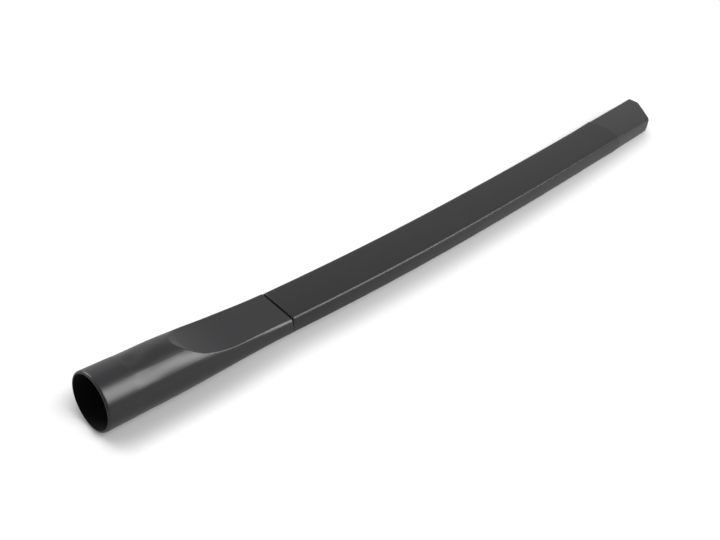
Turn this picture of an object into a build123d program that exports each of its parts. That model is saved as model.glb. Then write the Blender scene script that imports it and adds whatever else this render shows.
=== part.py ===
"""Flexible crevice tool for a vacuum cleaner: socket piece, soft duct and hard tip."""
import os
from math import asin, cos, radians, sin, sqrt, tan

from build123d import *

# All sizes in millimetres. X runs along the socket from its mouth, Y is to the left, Z is up.
# The origin is the centre of the socket's mouth.

# Socket, a round taper that slides over the end of a suction tube
mouth_radius = 19.15
mouth_rounding = 1.0
socket_length = 54.0
socket_end_radius = 18.3
bore_radius = 17.5
bore_depth = 42.0
stop_radius = 15.8
stop_width = 3.0

# Shoulder that carries the round socket over into the flat neck
connector_length = 136.4
taper_stations = 2
shoulder_stations = 5
shoulder_hold = 1.0
shoulder_squareness = 1.05
neck_half_width = 16.6
neck_half_height = 7.2
neck_drop = 0.4
neck_corner = 4.2
neck_wall = 1.8

# Thumb panel scooped into the top of the connector, its start bevelled by a shallow trough
panel_start = 54.2
panel_ramp_length = 5.8
panel_ramp_angle = 31.0
panel_trough_radius = 49.0
panel_scoop_length = 36.0
panel_fall = 1.2
panel_height = 5.8

# Air way under the panel: a funnel, then the neck's channel up to the wall that bears the spigot
channel_corner = 4.6
channel_end_wall = 3.0

# Soft duct, bent sideways in two long arcs and straight over the tip
duct_half_width = 15.3
duct_half_height = 7.1
duct_wall = 1.8
duct_corner = 1.6
duct_drop = 0.6
seam_gap = 1.2
first_bend_length = 165.0
first_bend_angle = 4.8
second_bend_length = 200.0
second_bend_angle = 2.5
straight_length = 81.0

# Top of the soft duct: a crisp edge on each side, and towards the tip two ridges between them
edge_turn = 76.0
ridge_offset = 10.6
ridge_run = 120.0
ridge_turn = 26.0
collar_swell = 0.4
collar_length = 26.0
tongue_radius = 36.0

# Turn from the horizontal at which a corner meets the side and the top of a tube's outline
side_turn = 10.0
top_turn = 86.0

# Hard tip, cut off at a slant with a blunt nose on the left
tip_reach = 65.5
tip_half_width = 15.6
tip_half_height = 7.0
tip_corner = 2.0
tip_wall = 1.8
tip_taper_length = 14.0
tip_joint_gap = 0.3
nose_width = 9.7
nose_chamfer_length = 1.0
nose_chamfer_width = 1.6
nose_rounding = 1.2
slant_angle = 51.0

# Spigots that hold the soft duct at both ends
spigot_length = 24.0
spigot_clearance = 0.3
spigot_wall = 1.3
spigot_corner = 2.6

os.makedirs("parts", exist_ok=True)

shoulder_length = connector_length - socket_length
station_step = shoulder_length / shoulder_stations
taper_length = socket_length - taper_stations * station_step
rim_inset = mouth_rounding * (1 - cos(radians(45)))
stop_end = bore_depth + stop_width
channel_half_width = neck_half_width - neck_wall
channel_half_height = (panel_height + neck_half_height + neck_drop) / 2 - neck_wall
channel_drop = (neck_half_height + neck_drop - panel_height) / 2
duct_start = connector_length + seam_gap
inner_half_width = duct_half_width - duct_wall
inner_half_height = duct_half_height - duct_wall
spigot_half_width = inner_half_width - spigot_clearance
spigot_half_height = inner_half_height - spigot_clearance
inner_corner = spigot_corner + spigot_clearance
air_half_width = spigot_half_width - spigot_wall
air_half_height = spigot_half_height - spigot_wall
air_corner = spigot_corner - spigot_wall

# The bend plane leans down to the left, so that the tip rests on the floor like the socket's rim
end_angle = radians(first_bend_angle + second_bend_angle)
first_radius = first_bend_length / radians(first_bend_angle)
second_radius = second_bend_length / radians(second_bend_angle)
first_offset = first_radius * (1 - cos(radians(first_bend_angle)))
second_offset = second_radius * (cos(radians(first_bend_angle)) - cos(end_angle))
end_offset = first_offset + second_offset + straight_length * sin(end_angle)
rest_drop = mouth_radius - duct_drop - tip_half_height
lean = asin(rest_drop / end_offset)
bend_plane = Plane(
    origin=(duct_start, 0, -duct_drop), x_dir=(1, 0, 0), z_dir=(0, sin(lean), cos(lean))
)
with BuildLine(bend_plane) as duct_path:
    first_bend = JernArc((0, 0), (1, 0), first_radius, first_bend_angle)
    second_bend = JernArc(first_bend @ 1, first_bend % 1, second_radius, second_bend_angle)
    PolarLine(second_bend @ 1, straight_length, direction=second_bend % 1)
route = duct_path.wire()
route_length = first_bend_length + second_bend_length + straight_length


def socket_radius(distance):
    """Outer radius of the socket's taper at a distance from its mouth."""
    return mouth_radius + (socket_end_radius - mouth_radius) * distance / socket_length


def cross_plane(distance, drop):
    """Section plane across the connector, its x to the left and its y up."""
    return Plane(origin=(distance, 0, -drop), x_dir=(0, 1, 0), z_dir=(1, 0, 0))


def station(distance):
    """Section plane at a distance along the duct's centreline, its x level and to the left."""
    heading = route.tangent_at(distance, PositionMode.LENGTH)
    place = route.position_at(distance, PositionMode.LENGTH)
    return Plane(origin=place, x_dir=Vector(0, 0, 1).cross(heading), z_dir=heading)


# Plan view plane of the tip: x runs on past the end of the centreline, y is to the left
end_heading = route.tangent_at(1)
end_left = Vector(0, 0, 1).cross(end_heading)
tip_plane = Plane(origin=route.position_at(1), x_dir=end_heading, z_dir=end_heading.cross(end_left))
plan_margin = duct_half_width + collar_swell + 1
tongue_sag = tongue_radius - sqrt(tongue_radius**2 - plan_margin**2)
cut_height = 4 * duct_half_height


def corner_centre(half_width, half_height, corner):
    """Centre of the upper left corner's arc, which runs on smoothly into the side and the top."""
    side_share = tan(radians(side_turn) / 2)
    top_share = tan(radians(90 - top_turn) / 2)
    across = half_width - corner
    upward = half_height - corner
    spread = 1 - side_share * top_share
    return (across - side_share * upward) / spread, (upward - top_share * across) / spread


def corner_spot(centre, corner, turn):
    """Point of a corner's arc at a turn from the horizontal."""
    return centre[0] + corner * cos(radians(turn)), centre[1] + corner * sin(radians(turn))


def arc_and_mirrored(start, middle, end, across=(1, -1), upward=(1, -1)):
    """An arc, drawn again on each side that the signs name."""
    for x_sign in across:
        for y_sign in upward:
            ThreePointArc(*[(x * x_sign, y * y_sign) for x, y in (start, middle, end)])


def tube_outline(half_width, half_height, corner):
    """Eight arcs that meet smoothly. Three equal sizes give a circle, so round lofts into flat."""
    centre = corner_centre(half_width, half_height, corner)
    side = corner_spot(centre, corner, side_turn)
    bend = corner_spot(centre, corner, (side_turn + top_turn) / 2)
    top = corner_spot(centre, corner, top_turn)
    with BuildSketch() as outline:
        with BuildLine():
            arc_and_mirrored((side[0], -side[1]), (half_width, 0), side, upward=(1,))
            arc_and_mirrored(side, bend, top)
            arc_and_mirrored(top, (0, half_height), (-top[0], top[1]), across=(1,))
        make_face()
    return outline.sketch


def duct_outline(swell, turn):
    """The soft duct's outline: a smooth tube whose top ends in crisp edges, with two ridges."""
    half_width = duct_half_width + swell
    half_height = duct_half_height + swell
    centre = corner_centre(half_width, half_height, duct_corner)
    side = corner_spot(centre, duct_corner, side_turn)
    bend = corner_spot(centre, duct_corner, (side_turn + top_turn) / 2)
    last = corner_spot(centre, duct_corner, top_turn)
    crisp = corner_spot(centre, duct_corner, edge_turn)
    crown = half_height - crisp[1]
    ridge = (ridge_offset, half_height - crown * (ridge_offset / crisp[0]) ** 2)
    edge = corner_spot(centre, duct_corner, turn)
    edge_bend = corner_spot(centre, duct_corner, (side_turn + turn) / 2)
    facet_rise = crown * ((crisp[0] - ridge_offset) / (2 * crisp[0])) ** 2
    facet = ((ridge[0] + edge[0]) / 2, (ridge[1] + edge[1]) / 2 + facet_rise)
    with BuildSketch() as outline:
        with BuildLine():
            arc_and_mirrored((side[0], -side[1]), (half_width, 0), side, upward=(1,))
            arc_and_mirrored(side, bend, last, upward=(-1,))
            arc_and_mirrored(last, (0, half_height), (-last[0], last[1]), across=(1,), upward=(-1,))
            arc_and_mirrored(side, edge_bend, edge, upward=(1,))
            arc_and_mirrored(edge, facet, ridge, upward=(1,))
            arc_and_mirrored(ridge, (0, half_height), (-ridge[0], ridge[1]), across=(1,), upward=(1,))
        make_face()
    return outline.sketch


def shoulder_outline(share):
    """The connector's outline at a share of the way from the round socket to the flat neck."""
    left_over = (1 - share) ** 2 * (1 + shoulder_hold * share)
    half_width = neck_half_width + (socket_end_radius - neck_half_width) * left_over
    half_height = neck_half_height + (socket_end_radius - neck_half_height) * left_over
    corner = neck_corner + (socket_end_radius - neck_corner) * left_over**shoulder_squareness
    return tube_outline(half_width, half_height, corner)


def beyond_tongue(gap):
    """Plan outline of all that lies past the duct's tongue-shaped end, less a gap."""
    start = -tip_reach + gap
    corner = start - tongue_sag
    with BuildSketch() as outline:
        with BuildLine():
            ThreePointArc((corner, plan_margin), (start, 0), (corner, -plan_margin))
            Polyline(
                (corner, -plan_margin),
                (plan_margin, -plan_margin),
                (plan_margin, plan_margin),
                (corner, plan_margin),
            )
        make_face()
    return outline.sketch


# Cutter of the thumb panel: a side profile across the whole width, kept inside a sloping cylinder
# whose underside bevels the panel's start in a crescent
ramp_top = socket_radius(panel_start)
ramp_end = panel_start + panel_ramp_length
ramp_foot = ramp_top - panel_ramp_length * tan(radians(panel_ramp_angle))
scoop_end = ramp_end + panel_scoop_length
clear_height = 2 * mouth_radius
clear_end = connector_length + 1
ramp_heading = Vector(cos(radians(panel_ramp_angle)), 0, -sin(radians(panel_ramp_angle)))
with BuildPart() as panel_cutter:
    with BuildSketch(Plane.XZ):
        with BuildLine():
            floor_line = Line((clear_end, panel_height), (scoop_end, panel_height + panel_fall))
            scoop = TangentArc(floor_line @ 1, (ramp_end, ramp_foot), tangent=floor_line % 1)
            rise = PolarLine(scoop @ 1, clear_height, direction=scoop % 1)
            Polyline(rise @ 1, (clear_end, (rise @ 1).Y), floor_line @ 0)
        make_face()
    extrude(amount=clear_height, both=True)
    with BuildSketch(Plane(origin=(panel_start, 0, ramp_top), x_dir=(0, 1, 0), z_dir=ramp_heading)):
        with Locations((0, panel_trough_radius)):
            Circle(panel_trough_radius)
    extrude(amount=2 * connector_length, both=True, mode=Mode.INTERSECT)

# Cutter of the funnel: a cone that narrows to the channel's width, kept between two sloping faces
with BuildPart() as funnel_cutter:
    with BuildSketch(Plane.XZ):
        with BuildLine():
            Polyline(
                (stop_end, 0),
                (stop_end, stop_radius),
                (scoop_end, channel_half_width),
                (scoop_end, 0),
                close=True,
            )
        make_face()
    revolve(axis=Axis.X)
    with BuildSketch(Plane.XZ):
        with BuildLine():
            Polyline(
                (stop_end, stop_radius),
                (scoop_end, channel_half_height - channel_drop),
                (scoop_end, -channel_half_height - channel_drop),
                (stop_end, -stop_radius),
                close=True,
            )
        make_face()
    extrude(amount=stop_radius, both=True, mode=Mode.INTERSECT)

# Connector: round socket with a two step rounded rim, shoulder and flat neck, with the thumb
# panel scooped out of its top
with BuildPart() as connector:
    with BuildSketch(Plane.XZ):
        with BuildLine():
            Polyline(
                (taper_length, 0),
                (0, 0),
                (0, mouth_radius - mouth_rounding),
                (rim_inset, mouth_radius - rim_inset),
                (mouth_rounding, mouth_radius),
                (taper_length, socket_radius(taper_length)),
                close=True,
            )
        make_face()
    revolve(axis=Axis.X)
    for count in range(taper_stations):
        distance = taper_length + station_step * count
        radius = socket_radius(distance)
        with BuildSketch(cross_plane(distance, 0)):
            add(tube_outline(radius, radius, radius))
    for count in range(shoulder_stations + 1):
        share = count / shoulder_stations
        with BuildSketch(cross_plane(socket_length + shoulder_length * share, neck_drop * share)):
            add(shoulder_outline(share))
    loft()
    add(panel_cutter.part, mode=Mode.SUBTRACT)

    with BuildSketch(Plane.XZ):
        with BuildLine():
            Polyline(
                (0, 0),
                (0, bore_radius),
                (bore_depth, bore_radius),
                (bore_depth, stop_radius),
                (stop_end, stop_radius),
                (stop_end, 0),
                close=True,
            )
        make_face()
    revolve(axis=Axis.X, mode=Mode.SUBTRACT)
    add(funnel_cutter.part, mode=Mode.SUBTRACT)
    with BuildSketch(cross_plane(scoop_end, channel_drop)):
        add(tube_outline(channel_half_width, channel_half_height, channel_corner))
    extrude(amount=connector_length - channel_end_wall - scoop_end, mode=Mode.SUBTRACT)

    with BuildSketch(cross_plane(connector_length, duct_drop)):
        add(tube_outline(spigot_half_width, spigot_half_height, spigot_corner))
    extrude(amount=spigot_length)
    with BuildSketch(cross_plane(connector_length + spigot_length, duct_drop)):
        add(tube_outline(air_half_width, air_half_height, air_corner))
    extrude(amount=-spigot_length - channel_end_wall, mode=Mode.SUBTRACT)
connector.part.label = "connector"
export_step(connector.part, "parts/connector.step")

# Soft duct: a flat hollow run lofted along its bends, trimmed to a tongue at the tip end
duct_end = route_length - tip_reach
run_end = duct_end - collar_length
run_stations = 12
distances = [run_end * count / run_stations for count in range(run_stations + 1)] + [duct_end]
with BuildPart() as flexible_duct:
    for distance in distances:
        swell = collar_swell * max(0, distance - run_end) / collar_length
        ridge_share = max(0, distance - duct_end + ridge_run) / ridge_run
        with BuildSketch(station(distance)):
            add(duct_outline(swell, edge_turn - ridge_turn * ridge_share))
    loft(ruled=True)
    for distance in distances:
        with BuildSketch(station(distance)):
            add(tube_outline(inner_half_width, inner_half_height, inner_corner))
    loft(ruled=True, mode=Mode.SUBTRACT)
    with BuildSketch(tip_plane):
        add(beyond_tongue(0))
    extrude(amount=cut_height, both=True, mode=Mode.SUBTRACT)
flexible_duct.part.label = "flexible_duct"
export_step(flexible_duct.part, "parts/flexible_duct.step")

# Tip: a straight flat tube with a spigot inside the duct, its end cut off at a slant
nose_reach = plan_margin - tip_half_width
slant_width = 2 * tip_half_width - nose_width
slant_length = slant_width * tan(radians(90 - slant_angle))
tip_inner_half_width = tip_half_width - tip_wall
tip_inner_half_height = tip_half_height - tip_wall
with BuildPart() as tip:
    with BuildSketch(station(route_length)):
        add(tube_outline(tip_half_width, tip_half_height, tip_corner))
    extrude(amount=-tip_reach - tongue_sag)
    with BuildSketch(tip_plane):
        add(beyond_tongue(tip_joint_gap))
    extrude(amount=cut_height, both=True, mode=Mode.INTERSECT)
    with BuildSketch(station(route_length - tip_reach - spigot_length)):
        add(tube_outline(spigot_half_width, spigot_half_height, spigot_corner))
    extrude(amount=spigot_length + spigot_wall)
    with BuildSketch(tip_plane) as end_cut:
        with BuildLine():
            Polyline(
                (-nose_chamfer_length - nose_reach, plan_margin),
                (-nose_chamfer_length, tip_half_width),
                (0, tip_half_width - nose_chamfer_width),
                (0, tip_half_width - nose_width),
                (-slant_length, -tip_half_width),
                (-slant_length - nose_reach, -plan_margin),
                (plan_margin, -plan_margin),
                (plan_margin, plan_margin),
                close=True,
            )
        make_face()
        fillet(end_cut.vertices().group_by(Axis.X)[-2], nose_rounding)
    extrude(amount=cut_height, both=True, mode=Mode.SUBTRACT)
    with BuildSketch(station(route_length - tip_reach)):
        add(tube_outline(air_half_width, air_half_height, air_corner))
    extrude(amount=-spigot_length, mode=Mode.SUBTRACT)
    with BuildSketch(station(route_length - tip_reach)):
        add(tube_outline(air_half_width, air_half_height, air_corner))
    with BuildSketch(station(route_length - tip_reach + tip_taper_length)):
        add(tube_outline(tip_inner_half_width, tip_inner_half_height, air_corner))
    with BuildSketch(station(route_length)):
        add(tube_outline(tip_inner_half_width, tip_inner_half_height, air_corner))
    loft(ruled=True, mode=Mode.SUBTRACT)
tip.part.label = "tip"
export_step(tip.part, "parts/tip.step")
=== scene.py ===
# looks of a flexible vacuum crevice tool: grained hard plastic, satin soft duct, soft studio light
from math import cos, radians, sin

import bpy
from mathutils import Matrix, Vector


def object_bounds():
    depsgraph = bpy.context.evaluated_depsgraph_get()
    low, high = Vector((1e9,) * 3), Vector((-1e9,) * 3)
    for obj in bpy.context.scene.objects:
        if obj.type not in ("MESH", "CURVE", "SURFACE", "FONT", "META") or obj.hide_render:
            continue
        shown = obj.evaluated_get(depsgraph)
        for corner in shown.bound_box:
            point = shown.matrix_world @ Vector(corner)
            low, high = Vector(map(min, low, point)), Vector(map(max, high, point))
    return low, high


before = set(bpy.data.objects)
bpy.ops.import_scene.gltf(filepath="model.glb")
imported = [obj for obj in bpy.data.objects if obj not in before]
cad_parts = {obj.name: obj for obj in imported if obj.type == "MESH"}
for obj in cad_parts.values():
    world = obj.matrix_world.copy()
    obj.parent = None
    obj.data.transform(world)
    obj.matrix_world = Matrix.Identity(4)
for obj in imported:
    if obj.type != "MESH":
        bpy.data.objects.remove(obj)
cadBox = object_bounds()
floorHeight = min(corner[2] for corner in cadBox)
mm = 0.001


# hex colour as seen on screen to a linear one with alpha
def srgb(code):
    parts = [int(code[i:i + 2], 16) / 255 for i in (1, 3, 5)]
    return [p / 12.92 if p <= 0.04045 else ((p + 0.055) / 1.055) ** 2.4 for p in parts] + [1.0]


# one shader node with its settings, and its inputs as plain values or as links
def addNode(tree, kind, settings=None, inputs=None):
    node = tree.nodes.new(kind)
    for name, value in (settings or {}).items():
        setattr(node, name, value)
    for name, value in (inputs or {}).items():
        if isinstance(value, bpy.types.NodeSocket):
            tree.links.new(value, node.inputs[name])
        else:
            node.inputs[name].default_value = value
    return node


# the photograph's viewpoint, in millimetres from the socket's mouth and in degrees
cameraView = {
    "place": (-273.8, -417.89, 502.74),
    "azimuth": 40.89,  # from +X towards +Y
    "depression": 38.06,
    "roll": 9.92,
    "lens": 61.19,
    "sensor": 36.0,
    "nearest": 0.01,  # metres, nothing closer is drawn
}


def placeCamera(view):
    azimuth, depression, roll = (radians(view[key]) for key in ("azimuth", "depression", "roll"))
    level = cos(depression)
    forward = Vector((level * cos(azimuth), level * sin(azimuth), -sin(depression)))
    levelRight = forward.cross(Vector((0, 0, 1))).normalized()
    levelUp = levelRight.cross(forward)
    right = levelRight * cos(roll) + levelUp * sin(roll)
    up = levelUp * cos(roll) - levelRight * sin(roll)
    data = bpy.data.cameras.new("photoCamera")
    data.lens = view["lens"]
    data.sensor_width = view["sensor"]
    data.clip_start = view["nearest"]
    camera = bpy.data.objects.new("photoCamera", data)
    turn = Matrix((right, up, -forward)).transposed().to_4x4()
    camera.matrix_world = Matrix.Translation(Vector(view["place"]) * mm) @ turn
    bpy.context.collection.objects.link(camera)
    bpy.context.scene.camera = camera


placeCamera(cameraView)
print("camera placed")

# studio: white floor with a soft shade beside the object, partly cast and partly painted,
# a surround that is brighter behind, and three soft boxes
studio = {
    "floorSize": 6.0,
    "floorCentre": 0.28,  # along X, under the middle of the object
    "floorRoughness": 0.9,
    "floorGloss": 0.1,
    "floorColour": "#f8f8f8",
    "floorBounce": "#b4b4b4",  # what the floor gives back to the object
    # painted shade: beside the object the floor's colour turns grey and its white glow is lowered,
    # by how open the floor is there
    "paintedShadeColour": "#bababa",  # grey painted on the floor beside the object as shade
    "contactReach": 0.022,  # how far the shade beside the object spreads, in metres
    "contactOpen": 0.42,  # how open the floor is right beside the object, where full is 1
    "contactPower": 2.4,
    # the floor glows white to the camera; the smaller share beside the object paints shade there
    "liftNear": 0.08,  # share of plain white that the camera sees beside the object
    "liftOpen": 0.95,  # and on the open floor
    "liftStrength": 1.06,
    "surroundFront": 0.12,  # strength of the lit surround towards -Y
    "surroundBack": 0.7,  # and towards +Y
    # name: place, target, width and height in metres, power in watts
    "boxes": {
        "band": ((0.80, -0.98, 1.02), (0.2, 0.0, 0.0), 0.9, 1.1, 25.0),
        "bandEnd": ((1.5, -0.75, 0.88), (0.45, 0.0, 0.0), 0.5, 0.6, 9.0),
        "back": ((-0.1, 1.35, 0.75), (0.28, 0.0, 0.0), 0.9, 0.9, 14.0),
    },
}


def aimAt(thing, place, target):
    thing.location = place
    thing.rotation_euler = (Vector(target) - Vector(place)).to_track_quat("-Z", "Y").to_euler()


def buildSurround(settings):
    scene = bpy.context.scene
    scene.view_settings.view_transform = "Standard"
    world = bpy.data.worlds.new("paleSurround")
    scene.world = world
    world.use_nodes = True
    tree = world.node_tree
    tree.nodes.clear()
    ray = addNode(tree, "ShaderNodeLightPath")
    seen = addNode(tree, "ShaderNodeBackground", None, {"Color": (1, 1, 1, 1)})
    direction = addNode(tree, "ShaderNodeSeparateXYZ", None, {
        "Vector": addNode(tree, "ShaderNodeTexCoord").outputs["Generated"],
    })
    strength = addNode(tree, "ShaderNodeMapRange", None, {
        "Value": direction.outputs["Y"], "From Min": -1.0, "From Max": 1.0,
        "To Min": settings["surroundFront"], "To Max": settings["surroundBack"],
    })
    lit = addNode(tree, "ShaderNodeBackground", None, {
        "Color": (1, 1, 1, 1), "Strength": strength.outputs["Result"],
    })
    mixed = addNode(tree, "ShaderNodeMixShader", None, {"Fac": ray.outputs["Is Camera Ray"]})
    tree.links.new(lit.outputs["Background"], mixed.inputs[1])
    tree.links.new(seen.outputs["Background"], mixed.inputs[2])
    addNode(tree, "ShaderNodeOutputWorld", None, {"Surface": mixed.outputs["Shader"]})


def hangLamps(settings):
    for name, (place, target, width, height, power) in settings["boxes"].items():
        data = bpy.data.lights.new(name, "AREA")
        data.shape = "RECTANGLE"
        data.size = width
        data.size_y = height
        data.energy = power
        lamp = bpy.data.objects.new(name, data)
        aimAt(lamp, place, target)
        bpy.context.collection.objects.link(lamp)


def layFloor(settings):
    bpy.ops.mesh.primitive_plane_add(
        size=settings["floorSize"], location=(settings["floorCentre"], 0, floorHeight),
    )
    floor = bpy.context.object
    floor.name = "floor"
    paper = bpy.data.materials.new("matteWhitePaper")
    paper.use_nodes = True
    tree = paper.node_tree
    shader = tree.nodes["Principled BSDF"]
    shader.inputs["Roughness"].default_value = settings["floorRoughness"]
    shader.inputs["Specular IOR Level"].default_value = settings["floorGloss"]
    ray = addNode(tree, "ShaderNodeLightPath")
    # how open the floor is, 0 right beside the object and 1 away from it; this drives the painted
    # shade
    nearness = addNode(tree, "ShaderNodeAmbientOcclusion", None, {
        "Distance": settings["contactReach"],
    })
    openness = addNode(tree, "ShaderNodeMapRange", None, {
        "Value": nearness.outputs["AO"], "From Min": settings["contactOpen"],
    })
    opening = addNode(tree, "ShaderNodeMath", {"operation": "POWER"}, {
        0: openness.outputs["Result"], 1: settings["contactPower"],
    })
    # painted shade: the floor's colour seen by the camera turns from grey beside the object to
    # white away from it
    paintedShadeTone = addNode(tree, "ShaderNodeMixRGB", None, {
        "Fac": opening.outputs["Value"],
        "Color1": srgb(settings["paintedShadeColour"]), "Color2": srgb(settings["floorColour"]),
    })
    seen = addNode(tree, "ShaderNodeMixRGB", None, {
        "Fac": ray.outputs["Is Camera Ray"],
        "Color1": srgb(settings["floorBounce"]), "Color2": paintedShadeTone.outputs["Color"],
    })
    tree.links.new(seen.outputs["Color"], shader.inputs["Base Color"])
    # painted shade as well: the floor glows white for the camera, less beside the object
    share = addNode(tree, "ShaderNodeMapRange", None, {
        "Value": opening.outputs["Value"],
        "To Min": settings["liftNear"], "To Max": settings["liftOpen"],
    })
    visible = addNode(tree, "ShaderNodeMath", {"operation": "MULTIPLY"}, {
        0: ray.outputs["Is Camera Ray"], 1: share.outputs["Result"],
    })
    lift = addNode(tree, "ShaderNodeEmission", None, {"Strength": settings["liftStrength"]})
    lifted = addNode(tree, "ShaderNodeMixShader", None, {"Fac": visible.outputs["Value"]})
    tree.links.new(shader.outputs["BSDF"], lifted.inputs[1])
    tree.links.new(lift.outputs["Emission"], lifted.inputs[2])
    tree.links.new(lifted.outputs["Shader"], tree.nodes["Material Output"].inputs["Surface"])
    floor.data.materials.append(paper)


buildSurround(studio)
hangLamps(studio)
layFloor(studio)
print("studio built")

# Sizes in the finishes are in millimetres: grain width and depth, how far an edge's shading is
# softened, and how slowly the colour changes. Colours are written darker than they look in the
# photograph, because the lamps are brighter than the plain level.
moulding = {
    "grainDetail": 2.0,
    "grainBreak": 0.6,
    "flow": 16.6666667,
    "flowDetail": 3.0,
    "edgeSamples": 8,
    "relief": 1.0,
}
# ABS, moulded against a spark-eroded tool: fine matt grain that scatters the long highlight
grainedAbs = {
    "colour": "#252527",
    "dark": "#1f1f21",
    "roughness": 0.33,
    "grain": 0.9,
    "depth": 0.016,
    "edge": 1.2,
    # the bore is drawn nearly black, as the photograph shows it
    # painted shade: the inside of the bore is coloured nearly black in place of the shade deep in
    # it
    "boreShadeColour": "#010101",
    "boreRoughness": 1.0,
    "boreRadius": 17.7,
    "boreBlend": 0.2,
    "boreEnd": 54.0,
    "boreFade": 6.0,
}
# thermoplastic rubber, moulded against a polished tool: darker, smooth and satin
satinRubber = {
    "colour": "#1a1a1c",
    "dark": "#161617",
    "roughness": 0.36,
    "grain": 1.6,
    "depth": 0.004,
    "edge": 2.6,
}


def mouldedPlastic(name, look):
    material = bpy.data.materials.new(name)
    material.use_nodes = True
    tree = material.node_tree
    shader = tree.nodes["Principled BSDF"]
    place = addNode(tree, "ShaderNodeTexCoord").outputs["Object"]
    grain = addNode(tree, "ShaderNodeTexNoise", None, {
        "Vector": place, "Scale": 1 / (look["grain"] * mm),
        "Detail": moulding["grainDetail"], "Roughness": moulding["grainBreak"],
    })
    flow = addNode(tree, "ShaderNodeTexNoise", None, {
        "Vector": place, "Scale": 1 / (moulding["flow"] * mm), "Detail": moulding["flowDetail"],
    })
    colour = addNode(tree, "ShaderNodeValToRGB", None, {"Fac": flow.outputs["Fac"]})
    colour.color_ramp.elements[0].color = srgb(look["dark"])
    colour.color_ramp.elements[1].color = srgb(look["colour"])
    surface = colour.outputs["Color"]
    shader.inputs["Roughness"].default_value = look["roughness"]
    # painted shade: closer to the axis than the bore's radius and short of its end, the colour
    # turns nearly black and the surface fully rough
    if "boreRadius" in look:
        part = addNode(tree, "ShaderNodeSeparateXYZ", None, {"Vector": place})
        across = addNode(tree, "ShaderNodeCombineXYZ", None, {
            "Y": part.outputs["Y"], "Z": part.outputs["Z"],
        })
        radius = addNode(tree, "ShaderNodeVectorMath", {"operation": "LENGTH"}, {
            "Vector": across.outputs["Vector"],
        })
        inside = addNode(tree, "ShaderNodeMapRange", None, {
            "Value": radius.outputs["Value"],
            "From Min": look["boreRadius"] * mm,
            "From Max": (look["boreRadius"] - look["boreBlend"]) * mm,
        })
        boreShadeMask = addNode(tree, "ShaderNodeMapRange", None, {
            "Value": part.outputs["X"],
            "From Min": look["boreEnd"] * mm,
            "From Max": (look["boreEnd"] - look["boreFade"]) * mm,
            "To Max": inside.outputs["Result"],
        })
        surface = addNode(tree, "ShaderNodeMixRGB", None, {
            "Fac": boreShadeMask.outputs["Result"], "Color1": surface, "Color2": srgb(look["boreShadeColour"]),
        }).outputs["Color"]
        rough = addNode(tree, "ShaderNodeMapRange", None, {
            "Value": boreShadeMask.outputs["Result"],
            "To Min": look["roughness"], "To Max": look["boreRoughness"],
        })
        tree.links.new(rough.outputs["Result"], shader.inputs["Roughness"])
    tree.links.new(surface, shader.inputs["Base Color"])
    softEdge = addNode(tree, "ShaderNodeBevel", {"samples": moulding["edgeSamples"]}, {
        "Radius": look["edge"] * mm,
    })
    bump = addNode(tree, "ShaderNodeBump", None, {
        "Normal": softEdge.outputs["Normal"],
        "Height": grain.outputs["Fac"],
        "Distance": look["depth"] * mm,
        "Strength": moulding["relief"],
    })
    tree.links.new(bump.outputs["Normal"], shader.inputs["Normal"])
    return material


hardPlastic = mouldedPlastic("grainedAbs", grainedAbs)
softPlastic = mouldedPlastic("satinRubber", satinRubber)
finishes = {"connector": hardPlastic, "flexible_duct": softPlastic, "tip": hardPlastic}
for node, material in finishes.items():
    piece = bpy.data.objects[node]
    piece.data.materials.clear()
    piece.data.materials.append(material)
print("materials given")
